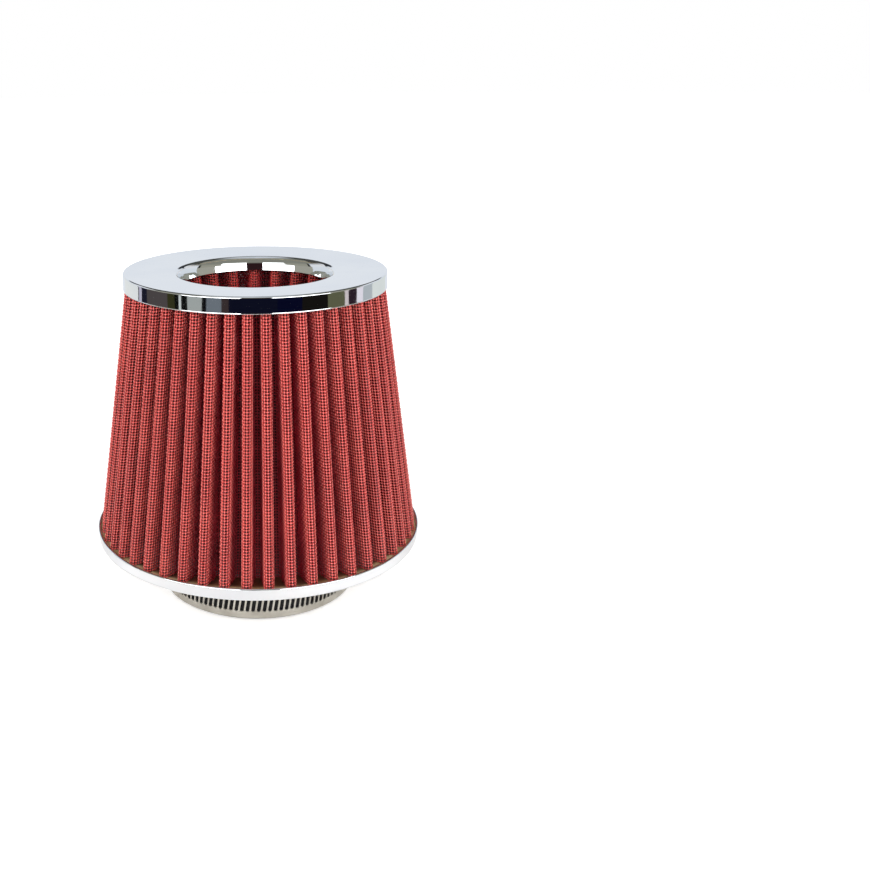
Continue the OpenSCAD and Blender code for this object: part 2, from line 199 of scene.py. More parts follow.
def zincSheet(name, pale, dark, rough):
    # Zinc-plated steel: a soft grey metal with fine mottling
    material, tree, shader, point = newMaterial(name, Metallic=1.0, Roughness=rough)
    mottle = addNode(tree, noiseTexture, {"Vector": point, "Scale": 300.0, "Detail": 4.0})
    fillInputs(tree, shader, {
        "Base Color": addNode(tree, colourRamp, {"Fac": mottle}, stops=((0.35, dark), (0.7, pale))),
        "Roughness": addNode(tree, mapRange, {
            "Value": mottle, "From Min": 0.3, "From Max": 0.7, "To Min": rough - 0.06, "To Max": rough + 0.08}),
        "Normal": addNode(tree, bump, {"Height": mottle, "Strength": 0.15, "Distance": 0.05 * mm})})
    return material


def backingScreen():
    # The screens' inner sides, seen only through the neck: the same red coat, its mesh drawn in the UV map
    material, tree, shader, _ = newMaterial("redScreenSeenFromInside", Roughness=0.45)
    wireSpacing = 1.2 * mm
    cloth = addNode(tree, "ShaderNodeUVMap", uv_map="pleatMap")
    warp, weft = (addNode(tree, "ShaderNodeTexWave", {"Vector": cloth, "Scale": 1 / wireSpacing / waveBands},
                          bands_direction=way) for way in "XY")
    wires = addNode(tree, maths, {0: warp.outputs["Fac"], 1: weft.outputs["Fac"]}, operation="MAXIMUM")
    fillInputs(tree, shader, {
        "Base Color": addNode(tree, colourRamp, {"Fac": wires},
                              stops=((0.45, "3a060b"), (0.7, "c23a36"), (0.95, "d8504a"))),
        "Normal": addNode(tree, bump, {"Height": wires, "Strength": 0.8, "Distance": 0.4 * mm})})
    return material


chrome = chromePlate()
redWire = epoxyWire()
gauze = oiledGauze()
resin = pottingResin()
rubber = mouldedRubber()
stainless = rolledStainless()
clipSteel = zincSheet("zincPlatedSheet", "c9ccce", "a9adb0", 0.34)
screwSteel = zincSheet("zincPlatedScrew", "c4c2ba", "a3a199", 0.3)
backing = backingScreen()
print("materials made")


def finishPiece(piece, body, replaced, sharpAngle=None):
    # Outward normals, smooth shading, then its body and the solids it stands for
    grid = bmesh.new()
    grid.from_mesh(piece.data)
    bmesh.ops.recalc_face_normals(grid, faces=grid.faces)
    grid.to_mesh(piece.data)
    grid.free()
    piece.data.shade_smooth()
    if sharpAngle:
        piece.data.set_sharp_from_angle(angle=math.radians(sharpAngle))
    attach(piece, body)
    if replaced:
        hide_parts(*replaced)
    return piece


def newObject(name, data):
    piece = bpy.data.objects.new(name, data)
    bpy.context.scene.collection.objects.link(piece)
    return piece


def gridObject(name, grid, material=None):
    # A mesh object from a bmesh
    mesh = bpy.data.meshes.new(name)
    grid.to_mesh(mesh)
    grid.free()
    if material:
        mesh.materials.append(material)
    return newObject(name, mesh)


def applyModifier(piece, modifier):
    # Keeps what the modifier makes as a plain mesh
    bpy.context.view_layer.update()
    piece.data = bpy.data.meshes.new_from_object(piece.evaluated_get(bpy.context.evaluated_depsgraph_get()))
    piece.data.name = piece.name
    piece.modifiers.remove(modifier)
    return piece


def growPiece(name, tree, values):
    # Runs a Geometry Nodes tree on an empty mesh
    piece = newObject(name, bpy.data.meshes.new(name))
    modifier = piece.modifiers.new(name, "NODES")
    modifier.node_group = tree
    for item in tree.interface.items_tree:
        if item.in_out == "INPUT" and item.name in values:
            modifier[item.identifier] = values[item.name]
    return applyModifier(piece, modifier)


def newTree(name, inputs, output="NodeSocketGeometry"):
    tree = bpy.data.node_groups.new(name, "GeometryNodeTree")
    for label, kind in inputs:
        tree.interface.new_socket(label, in_out="INPUT", socket_type="NodeSocket" + kind)
    tree.interface.new_socket("Result", in_out="OUTPUT", socket_type=output)
    return tree, tree.nodes.new("NodeGroupInput").outputs, tree.nodes.new("NodeGroupOutput").inputs


def arcPoints(centre, radius, start, end, steps):
    return [(centre[0] + radius * math.cos(start + (end - start) * i / steps),
             centre[1] + radius * math.sin(start + (end - start) * i / steps)) for i in range(steps + 1)]


def turnPiece(name, outline, segments, material, support=0.25):
    # Turns a closed outline of (radius, height) in mm about the axis. Short faces beside each
    # bend keep the shading of the flats flat. A point on the axis becomes one vertex.
    points = []
    for i, (r, z) in enumerate(outline):
        nextR, nextZ = outline[(i + 1) % len(outline)]
        points.append((r, z))
        length = math.hypot(nextR - r, nextZ - z)
        if length > 4 * support:
            for share in (support / length, 1 - support / length):
                points.append((r + (nextR - r) * share, z + (nextZ - z) * share))
    grid = bmesh.new()
    rings = []
    for r, z in points:
        if r < 1e-6:
            rings.append([grid.verts.new((0, 0, z * mm))] * segments)
        else:
            angles = [2 * math.pi * k / segments for k in range(segments)]
            rings.append([grid.verts.new((r * mm * math.cos(a), r * mm * math.sin(a), z * mm)) for a in angles])
    for i, ring in enumerate(rings):
        after = rings[(i + 1) % len(rings)]
        for k in range(segments):
            corners = []
            for corner in (ring[k], ring[(k + 1) % segments], after[(k + 1) % segments], after[k]):
                if corner not in corners:
                    corners.append(corner)
            if len(corners) > 2:
                grid.faces.new(corners)
    return gridObject(name, grid, material)


def softenedNode(name, nodeName, width, material):
    # A copy of a pressed or turned CAD piece, its sheet edges broken by a small bevel
    grid = bmesh.new()
    grid.from_mesh(nodes[nodeName].data)
    bmesh.ops.remove_doubles(grid, verts=grid.verts, dist=0.002 * mm)
    bmesh.ops.dissolve_limit(grid, angle_limit=math.radians(1.0), verts=grid.verts, edges=grid.edges)
    piece = gridObject(name, grid, material)
    bevel = piece.modifiers.new("edges", "BEVEL")
    bevel.width = width * mm
    bevel.segments = 2
    bevel.limit_method = "ANGLE"
    bevel.angle_limit = math.radians(30)
    return applyModifier(piece, bevel)


outerCone = {
    "pleats": 48, "face": 1, "depth": 12.0, "ridge": 2.25, "valley": 1.2,
    "bottomTip": 76.1, "topTip": 58.75, "bottom": 30.3, "top": 147.9,
    "phase": -86.2, "lean": 0.9,
}
innerCone = {
    "pleats": 22, "face": -1, "depth": 8.0, "ridge": 2.2, "valley": 1.6,
    "bottomTip": 22.0, "topTip": 34.85, "bottom": 59.9, "top": 147.9,
    "phase": 90.8, "lean": 0.0,
}


def pleatPath(name, cone, layer, level):
    # One pleat from valley to valley over its ridge, as a curve, at a depth in mm below its face
    tip = cone["bottomTip"] if level == "bottom" else cone["topTip"]
    face, half = cone["face"], math.pi / cone["pleats"]
    ridge = (tip - face * cone["ridge"], 0.0)
    deep = tip - face * cone["depth"] + face * cone["valley"]
    valley = (deep * math.cos(half), deep * math.sin(half))
    line = (valley[0] - ridge[0], valley[1] - ridge[1])
    flank = math.atan2(line[1], line[0]) - face * math.acos((cone["ridge"] + cone["valley"]) / math.hypot(*line))
    tipAngle, rootAngle = (0.0, half + math.pi) if face > 0 else (math.pi, half + 2 * math.pi)
    right = arcPoints(ridge, cone["ridge"] - layer, tipAngle, flank, 12)
    right += arcPoints(valley, cone["valley"] + layer, flank + math.pi, rootAngle, 10)
    points = [(x, -y) for x, y in reversed(right[1:])] + right
    curve = bpy.data.curves.new(name, "CURVE")
    curve.dimensions = "3D"
    spline = curve.splines.new("POLY")
    spline.points.add(len(points) - 1)
    for target, (x, y) in zip(spline.points, points):
        target.co = (x * mm, y * mm, cone[level] * mm, 1.0)
    return newObject(name, curve)


def makePleatPoint():
    # Where a point lies on the pleats: Along counts pleats, Up runs from 0 to 1
    tree, given, result = newTree("pleatPoint", (
        ("Along", "Float"), ("Up", "Float"), ("Bottom path", "Geometry"), ("Top path", "Geometry"),
        ("Pleats", "Float"), ("Phase", "Float"), ("Lean", "Float"), ("Outward", "Float")), "NodeSocketVector")
    share = addNode(tree, maths, {0: given["Along"]}, operation="FRACT")
    low, high = (addNode(tree, "GeometryNodeSampleCurve", {"Curves": given[path], "Factor": share},
                         mode="FACTOR").outputs for path in ("Bottom path", "Top path"))
    place, along = (addNode(tree, mix, {0: given["Up"], 4: low[what], 5: high[what]}, data_type="VECTOR")
                    for what in ("Position", "Tangent"))
    upright = addNode(tree, vectorMaths, {0: high["Position"], 1: low["Position"]}, operation="SUBTRACT")
    across = addNode(tree, vectorMaths, {0: along, 1: upright}, operation="CROSS_PRODUCT")
    normal = addNode(tree, vectorMaths, {0: across}, operation="NORMALIZE")
    lift = addNode(tree, vectorMaths, {0: normal, "Scale": given["Outward"]}, operation="SCALE")
    moved = addNode(tree, vectorMaths, {0: place, 1: lift}, operation="ADD")
    pitch = addNode(tree, maths, {0: 2 * math.pi, 1: given["Pleats"]}, operation="DIVIDE")
    number = addNode(tree, maths, {0: given["Along"]}, operation="FLOOR")
    turned = addNode(tree, maths, {0: number, 1: pitch, 2: given["Phase"]}, operation="MULTIPLY_ADD")
    fromMiddle = addNode(tree, maths, {0: given["Up"], 1: 0.5}, operation="SUBTRACT")
    leaned = addNode(tree, maths, {0: fromMiddle, 1: given["Lean"], 2: turned}, operation="MULTIPLY_ADD")
    spun = addNode(tree, "ShaderNodeVectorRotate", {"Vector": moved, "Angle": leaned}, rotation_type="Z_AXIS")
    tree.links.new(spun.outputs["Vector"], result["Result"])
    return tree


pleatPoint = makePleatPoint()
pathInputs = (
    ("Bottom path", "Object"), ("Top path", "Object"), ("Pleats", "Int"), ("Phase", "Float"), ("Lean", "Float"))


def onPleats(tree, given, along, up, outward):
    # Position on the pleats for the fields given
    inputs = {label: given[label] for label in ("Pleats", "Phase", "Lean")}
    inputs.update({"Along": along, "Up": up, "Outward": outward})
    for label in ("Bottom path", "Top path"):
        inputs[label] = addNode(tree, "GeometryNodeObjectInfo", {"Object": given[label]}).outputs["Geometry"]
    return addNode(tree, "GeometryNodeGroup", inputs, node_tree=pleatPoint).outputs["Result"]


def markRidges(tree, geometry, along):
    # Keeps how far each point lies from its ridge, 0 on the ridge and 1 in the valley, for the materials, which paint
    # shade into the valleys by it
    share = addNode(tree, maths, {0: along}, operation="FRACT")
    aside = addNode(tree, maths, {0: share, 1: 2.0, 2: -1.0}, operation="MULTIPLY_ADD")
    away = addNode(tree, maths, {0: aside}, operation="ABSOLUTE")
    return addNode(tree, "GeometryNodeStoreNamedAttribute", {
        "Geometry": geometry, "Name": "fromRidge", "Value": away}, data_type="FLOAT", domain="POINT")


def finishTree(tree, geometry, given, result):
    whole = addNode(tree, "GeometryNodeRealizeInstances", {"Geometry": geometry})
    dressed = addNode(tree, "GeometryNodeSetMaterial", {"Geometry": whole, "Material": given["Material"]})
    tree.links.new(dressed.outputs["Geometry"], result["Result"])
    return tree


def makeScreenWires(name, upright):
    # The screen's wires: uprights from the bottom of the pleats to their top, or rings in and out of the
    # pleats. They pass over and under each other by turns.
    tree, given, result = newTree(name, pathInputs + (
        ("Wires a pleat", "Int"), ("Rings", "Int"), ("First", "Int"), ("Number", "Int"),
        ("Crimp", "Float"), ("Wire radius", "Float"), ("Material", "Material")))
    if upright:
        count = addNode(tree, maths, {0: given["Rings"], 1: 2.0}, operation="ADD")
    else:
        count = addNode(tree, maths, {0: given["Pleats"], 1: given["Wires a pleat"]}, operation="MULTIPLY")
    line = addNode(tree, "GeometryNodeMeshLine", {"Count": count, "Offset": (0, 0, mm)})
    curve = addNode(tree, "GeometryNodeMeshToCurve", {"Mesh": line})
    copies = addNode(tree, "GeometryNodeDuplicateElements", {"Geometry": curve, "Amount": given["Number"]},
                     domain="SPLINE").outputs
    strands = addNode(tree, "GeometryNodeSetSplineCyclic", {0: copies["Geometry"], "Cyclic": not upright})
    step = addNode(tree, "GeometryNodeSplineParameter").outputs["Index"]
    strand = addNode(tree, maths, {0: copies["Duplicate Index"], 1: given["First"]}, operation="ADD")
    column, row, middle = (strand, step, -0.5) if upright else (step, strand, 0.5)
    along = addNode(tree, maths, {0: column, 1: given["Wires a pleat"]}, operation="DIVIDE")
    level = addNode(tree, maths, {0: row, 1: middle}, operation="ADD")
    up = addNode(tree, mapRange, {"Value": level, "From Max": given["Rings"]})
    # 1 where this strand is on top, -1 where it is below
    total = addNode(tree, maths, {0: step, 1: strand}, operation="ADD")
    odd = addNode(tree, maths, {0: total, 1: 2.0}, operation="MODULO")
    side = addNode(tree, maths, {0: odd, 1: -2.0, 2: 1.0}, operation="MULTIPLY_ADD")
    outward = addNode(tree, maths, {0: side, 1: given["Crimp"]}, operation="MULTIPLY")
    # The same as 1 or 0, for the material, which paints a highlight where the strand is on top
    onTop = addNode(tree, maths, {0: side, 1: 0.5, 2: 0.5}, operation="MULTIPLY_ADD")
    marked = addNode(tree, "GeometryNodeStoreNamedAttribute", {
        "Geometry": strands, "Name": "raised", "Value": onTop}, data_type="FLOAT", domain="POINT")
    bent = addNode(tree, "GeometryNodeSetPosition", {
        "Geometry": markRidges(tree, marked, along), "Position": onPleats(tree, given, along, up, outward)})
    section = addNode(tree, "GeometryNodeCurvePrimitiveCircle", {
        "Resolution": 3 if upright else 4, "Radius": given["Wire radius"]})
    wires = addNode(tree, "GeometryNodeCurveToMesh", {"Curve": bent, "Profile Curve": section, "Fill Caps": upright})
    return finishTree(tree, wires, given, result)


def makePleatedSheet():
    # A closed pleated sheet: rows run up its face, over its top and down its back
    tree, given, result = newTree("pleatedSheet", pathInputs + (
        ("Steps a pleat", "Int"), ("Rows", "Int"), ("Thickness", "Float"), ("Path length", "Float"),
        ("Height", "Float"), ("Material", "Material")))
    columns = addNode(tree, maths, {0: given["Pleats"], 1: given["Steps a pleat"], 2: 1.0}, operation="MULTIPLY_ADD")
    lastRow = addNode(tree, maths, {0: given["Rows"], 1: 2.0, 2: 2.0}, operation="MULTIPLY_ADD")
    rows = addNode(tree, maths, {0: lastRow, 1: 1.0}, operation="ADD")
    sheet = addNode(tree, "GeometryNodeMeshGrid", {
        "Size X": 1.0, "Size Y": 1.0, "Vertices X": columns, "Vertices Y": rows})
    here = addNode(tree, "ShaderNodeSeparateXYZ", {0: addNode(tree, "GeometryNodeInputPosition")}).outputs
    acrossShare = addNode(tree, maths, {0: here["X"], 1: 0.5}, operation="ADD")
    along = addNode(tree, maths, {0: acrossShare, 1: given["Pleats"]}, operation="MULTIPLY")
    rowShare = addNode(tree, maths, {0: here["Y"], 1: 0.5}, operation="ADD")
    rowPlace = addNode(tree, maths, {0: rowShare, 1: lastRow}, operation="MULTIPLY")
    row = addNode(tree, maths, {0: rowPlace}, operation="ROUND")
    rising = addNode(tree, maths, {0: row, 1: given["Rows"]}, operation="DIVIDE")
    backRow = addNode(tree, maths, {0: lastRow, 1: 1.0}, operation="SUBTRACT")
    rowsLeft = addNode(tree, maths, {0: backRow, 1: row}, operation="SUBTRACT")
    falling = addNode(tree, maths, {0: rowsLeft, 1: given["Rows"]}, operation="DIVIDE")
    faceEnd = addNode(tree, maths, {0: given["Rows"], 1: 0.5}, operation="ADD")
    backEnd = addNode(tree, maths, {0: lastRow, 1: 0.5}, operation="SUBTRACT")
    pastFace = addNode(tree, maths, {0: row, 1: faceEnd}, operation="GREATER_THAN")
    notLast = addNode(tree, maths, {0: row, 1: backEnd}, operation="LESS_THAN")
    behind = addNode(tree, maths, {0: pastFace, 1: notLast}, operation="MULTIPLY")
    change = addNode(tree, maths, {0: falling, 1: rising}, operation="SUBTRACT")
    climb = addNode(tree, maths, {0: change, 1: behind, 2: rising}, operation="MULTIPLY_ADD")
    up = addNode(tree, maths, {0: climb, 1: notLast}, operation="MULTIPLY")
    outward = addNode(tree, maths, {0: behind, 1: given["Thickness"]}, operation="MULTIPLY")
    # The cloth's own map, in metres along the pleats and up them
    mapX = addNode(tree, maths, {0: along, 1: given["Path length"]}, operation="MULTIPLY")
    mapY = addNode(tree, maths, {0: up, 1: given["Height"]}, operation="MULTIPLY")
    place = addNode(tree, "ShaderNodeCombineXYZ", {"X": mapX, "Y": mapY})
    mapped = addNode(tree, "GeometryNodeStoreNamedAttribute", {
        "Geometry": sheet, "Name": "pleatMap", "Value": place}, data_type="FLOAT2", domain="CORNER")
    bent = addNode(tree, "GeometryNodeSetPosition", {
        "Geometry": markRidges(tree, mapped, along), "Position": onPleats(tree, given, along, up, outward)})
    closed = addNode(tree, "GeometryNodeMergeByDistance", {"Geometry": bent, "Distance": 0.002 * mm})
    return finishTree(tree, closed, given, result)


screenRings = makeScreenWires("screenRings", False)
screenUprights = makeScreenWires("screenUprights", True)
pleatedSheet = makePleatedSheet()

# Depths in mm below the pleats' face, and what the screens are woven from
layers = {"wireRadius": 0.24, "crimp": 0.22, "wireDepth": 0.4, "clothDepth": 0.9, "clothThickness": 0.3,
          "backDepth": 1.3, "backThickness": 0.15}
outerScreen = dict(layers, wiresPerPleat=22, rings=92, bands=4, pathLength=27.0)
innerScreen = dict(layers, wiresPerPleat=16, rings=69, bands=1, pathLength=21.0)


def dressCone(prefix, cone, screen, screenNode, clothNode, backNode):
    turnBy = {"Pleats": cone["pleats"], "Phase": math.radians(cone["phase"]), "Lean": math.radians(cone["lean"])}
    paths = {}
    for layer in ("wireDepth", "clothDepth", "backDepth"):
        paths[layer] = {"Bottom path": pleatPath(prefix + layer + "Low", cone, screen[layer], "bottom"),
                        "Top path": pleatPath(prefix + layer + "High", cone, screen[layer], "top")}
    woven = dict(turnBy, **paths["wireDepth"], **{
        "Wires a pleat": screen["wiresPerPleat"], "Rings": screen["rings"], "Crimp": screen["crimp"] * mm,
        "Wire radius": screen["wireRadius"] * mm, "Material": redWire})
    kinds = (("Rings", screenRings, screen["rings"]),
             ("Uprights", screenUprights, cone["pleats"] * screen["wiresPerPleat"]))
    # In bands, so that no piece has too many triangles
    for band in range(screen["bands"]):
        for kind, tree, total in kinds:
            each = total // screen["bands"]
            strands = growPiece(f"{prefix}Screen{kind}{band + 1}", tree, dict(woven, First=band * each, Number=each))
            finishPiece(strands, "filter", [screenNode])
    for layer, thickness, material, node, slot, label in (
            ("clothDepth", "clothThickness", gauze, clothNode, "cotton", "Gauze"),
            ("backDepth", "backThickness", backing, backNode, "red_screen", "BackScreen")):
        sheet = growPiece(prefix + label, pleatedSheet, dict(turnBy, **paths[layer], **{
            "Steps a pleat": 24, "Rows": 6, "Thickness": -cone["face"] * screen[thickness] * mm,
            "Path length": screen["pathLength"] * mm, "Height": (cone["top"] - cone["bottom"]) * mm,
            "Material": material}))
        finishPiece(sheet, "filter", [node])
    for pair in paths.values():
        for holder in pair.values():
            bpy.data.objects.remove(holder)


dressCone("outer", outerCone, outerScreen, "outer_mesh", "outer_media", "outer_backing_mesh")
print("outer cone woven")
dressCone("inner", innerCone, innerScreen, "inner_mesh", "inner_media", "inner_backing_mesh")
print("inner cone woven")


# The pressed caps, in mm
topCap = {"top": 153.5, "outer": 59.75, "stand": 0.2, "sheet": 0.6, "lip": 7.2, "round": 0.8, "hem": 0.16,
          "fall": 1.0, "hole": 36.8, "holeRound": 1.2, "bend": 48.0, "bowRound": 8.0, "bow": 78.0, "holeLip": 6.4}


def makeTopCap(cap):
    lip = cap["outer"] - cap["stand"]
    top, sheet = cap["top"], cap["sheet"]
    rim = top - cap["fall"]
    quarter = math.pi / 2
    # The hole's wall turns down over a tight bend, then bows inwards to its lower edge
    bend, bow = math.radians(cap["bend"]), math.radians(cap["bow"])
    tight, wide = cap["holeRound"], cap["bowRound"]
    tightMiddle = (cap["hole"], rim - tight)
    wideMiddle = (cap["hole"] + (wide - tight) * math.sin(bend), rim - tight - (wide - tight) * math.cos(bend))
    wall = arcPoints(tightMiddle, tight, quarter, quarter + bend, 8)
    wall += arcPoints(wideMiddle, wide, quarter + bend, quarter + bow, 12)
    back = arcPoints(wideMiddle, wide - sheet, quarter + bow, quarter + bend, 12)
    back += arcPoints(tightMiddle, tight - sheet, quarter + bend, quarter, 6)
    lowZ = rim - cap["holeLip"]
    lowR = wall[-1][0] - (wall[-1][1] - lowZ) / math.tan(bow)
    hemZ = top - cap["lip"] + cap["hem"]
    hemR = cap["outer"] - cap["hem"]
    edge = 0.2
    outline = arcPoints((lip - cap["round"], top - cap["round"]), cap["round"], 0, quarter, 12) + wall
    outline += [(lowR, lowZ + edge), (lowR + edge, lowZ), (lowR + sheet - edge, lowZ), (lowR + sheet, lowZ + edge)]
    outline += back
    outline += arcPoints((lip - cap["round"], top - cap["round"]), cap["round"] - sheet, quarter, 0, 6)
    # Rolled hem round the lower edge
    outline += arcPoints((hemR, hemZ), cap["hem"], math.radians(130), math.radians(410), 20)
    return finishPiece(turnPiece("topCapPressing", outline, 256, chrome), "filter", ["top_cap"], 50)


makeTopCap(topCap)

basePan = {"z": 26.0, "rim": 6.0, "outer": 77.5, "stand": 0.2, "sheet": 0.8, "round": 1.6, "hem": 0.55, "hole": 42.5}


def makeBasePan(pan):
    wall = pan["outer"] - pan["stand"]
    sheet, low = pan["sheet"], pan["z"]
    hemZ = low + pan["rim"] - pan["hem"]
    hemR = pan["outer"] - pan["hem"]
    quarter = math.pi / 2
    outline = [(pan["hole"], low)]
    outline += arcPoints((wall - pan["round"], low + pan["round"]), pan["round"], -quarter, 0, 12)
    # The rim is rolled outwards into a bead
    outline += arcPoints((hemR, hemZ), pan["hem"], math.radians(-50), math.radians(230), 20)
    outline += arcPoints((wall - pan["round"], low + pan["round"]), pan["round"] - sheet, 0, -quarter, 6)
    outline += [(pan["hole"], low + sheet)]
    return finishPiece(turnPiece("basePanPressing", outline, 256, chrome), "filter", ["base_pan"], 50)


makeBasePan(basePan)

endCap = {"z": 56.8, "outer": 33.1, "sheet": 0.6, "rim": 6.0, "dish": 14.9, "rise": 2.0, "corner": 0.8,
          "cornerMiddle": 0.25}


def makeEndCap(cap):
    z, sheet, dish, rise, outer = cap["z"], cap["sheet"], cap["dish"], cap["rise"], cap["outer"]
    corner, middle, rimZ = cap["corner"], cap["cornerMiddle"], cap["z"] + cap["rim"]
    outline = [(0, z + rise), (dish, z + rise), (dish + rise, z), (outer - corner, z), (outer - middle, z + middle),
               (outer, z + corner), (outer, rimZ), (outer - sheet, rimZ), (outer - sheet, z + sheet),
               (dish + rise + sheet / 2, z + sheet), (dish + sheet / 2, z + rise + sheet), (0, z + rise + sheet)]
    piece = turnPiece("innerEndCapPressing", outline, 128, clipSteel)
    return finishPiece(piece, "filter", ["inner_end_cap"], 35)


makeEndCap(endCap)


# Resin poured into the caps, in mm, and the node that each stands for. It is painted darker inside the given radius,
# under the pleats, as painted shade.
resins = {
    "baseResin": {"node": "base_potting", "inner": 48.5, "outer": 76.4, "low": 27.2, "high": 30.3, "rings": 24,
                  "unevenness": 0.45, "shadeEdge": 74.5},
    "topResin": {"node": "top_potting", "inner": 35.3, "outer": 58.9, "low": 147.9, "high": 151.4, "rings": 6,
                 "unevenness": 0.0, "shadeEdge": 0.0},
    "endCapResin": {"node": "inner_potting", "inner": 17.5, "outer": 32.5, "low": 57.4, "high": 59.9, "rings": 12,
                    "unevenness": 0.3, "shadeEdge": 0.0},
}


def pourResin(name, size):
    # Level, with a slow swell and small lumps. The painted shade fades out over the last millimetres.
    inner, outer, high, rings = size["inner"], size["outer"], size["high"], size["rings"]
    fade = 3.0
    outline = [(inner, size["low"]), (outer, size["low"])]
    outline += [(outer + (inner - outer) * i / rings, high) for i in range(rings + 1)]
    piece = turnPiece(name, outline, 384, resin, support=2.0)
    for vertex in piece.data.vertices:
        if vertex.co.z > (high - 0.01) * mm:
            swell, lumps = noise.noise(vertex.co * 60), noise.noise(vertex.co * 260)
            vertex.co.z += size["unevenness"] * mm * (swell + 0.6 * lumps)
    radii = [math.hypot(vertex.co.x, vertex.co.y) / mm for vertex in piece.data.vertices]
    # Painted shade: 1 under the pleats, fading to 0 towards the rim
    soaked = piece.data.attributes.new("soaked", "FLOAT", "POINT")
    soaked.data.foreach_set("value", [min(max((size["shadeEdge"] - r) / fade, 0.0), 1.0) for r in radii])
    return finishPiece(piece, "filter", [size["node"]], 60)


for resinName, resinSize in resins.items():
    pourResin(resinName, resinSize)
print("caps and resin made")

neck = {"bore": 38.0, "outer": 45.5, "shoulder": 48.5, "shoulderT": 3.0, "panZ": 26.0, "panTop": 26.8, "grip": 42.5,
        "chamfer": 0.8, "edge": 0.5, "underBand": 45.4, "bandTop": 14.0, "step": 0.4}


def makeNeck(size):
    low, high = size["panZ"] - size["shoulderT"], size["panTop"] + size["shoulderT"]
    edge = size["edge"]
    quarter = math.pi / 2
    outline = [(size["bore"] + size["chamfer"], 0)]
    outline += arcPoints((size["underBand"] - edge, edge), edge, -quarter, 0, 4)
    outline += [(size["underBand"], size["bandTop"]), (size["outer"], size["bandTop"] + size["step"]),
                (size["outer"], low)]
    outline += arcPoints((size["shoulder"] - edge, low + edge), edge, -quarter, 0, 4)
    outline += [(size["shoulder"], size["panZ"]), (size["grip"], size["panZ"]), (size["grip"], size["panTop"]),
                (size["shoulder"], size["panTop"])]
    outline += arcPoints((size["shoulder"] - edge, high - edge), edge, 0, quarter, 4)
    outline += [(size["bore"], high), (size["bore"], size["chamfer"])]
    return finishPiece(turnPiece("rubberNeck", outline, 192, rubber), "filter", ["neck"], 40)


makeNeck(neck)

band = {"low": 0.8, "width": 12.7, "thickness": 0.7, "slotLength": 6.5, "slotWidth": 1.75, "slant": 9.0, "pitch": 2.6,
        "radius": 45.5, "lapGap": 0.1, "housing": 90.0, "startBefore": 15.0, "ramp": 10.0, "tail": 35.0}


def bandCell(name, size, slotted):
    # One pitch of the strip: X along it from 0 to 1, Y through it from 0 to 1, Z across it in metres
    half = size["width"] / 2
    steps = 8
    heights = [-half + size["width"] * i / steps for i in range(steps + 1)]
    rim = [(0.5, -half)] + [(1.0, z) for z in heights] + [(0.5, half)] + [(0.0, z) for z in reversed(heights)]
    radius, straight = size["slotWidth"] / 2, (size["slotLength"] - size["slotWidth"]) / 2
    slot = [(0, -straight - radius)]
    slot += [(radius * math.sin(a), -straight - radius * math.cos(a)) for a in (0.6, 1.2)]
    slot += [(radius, -straight + 2 * straight * i / 4) for i in range(5)]
    slot += [(radius * math.sin(a), straight + radius * math.cos(a)) for a in (1.2, 0.6)]
    slot += [(0, straight + radius)]
    slot += [(-x, z) for x, z in reversed(slot[1:-1])]
    lean = math.radians(size["slant"])
    slot = [(0.5 + (x * math.cos(lean) + z * math.sin(lean)) / size["pitch"], z * math.cos(lean) - x * math.sin(lean))
            for x, z in slot]
    grid = bmesh.new()
    rims = [[grid.verts.new((x, y, z * mm)) for x, z in rim] for y in (0, 1)]
    slots = [[grid.verts.new((x, y, z * mm)) for x, z in slot] for y in (0, 1)] if slotted else []
    for i in range(len(rim)):
        j = (i + 1) % len(rim)
        if slotted:
            for side in (0, 1):
                grid.faces.new((rims[side][i], rims[side][j], slots[side][j], slots[side][i]))
            grid.faces.new((slots[0][i], slots[0][j], slots[1][j], slots[1][i]))
        if rim[i][1] == rim[j][1]:
            grid.faces.new((rims[0][i], rims[0][j], rims[1][j], rims[1][i]))
    if not slotted:
        for side in (0, 1):
            grid.faces.new(rims[side])
    return gridObject(name, grid)


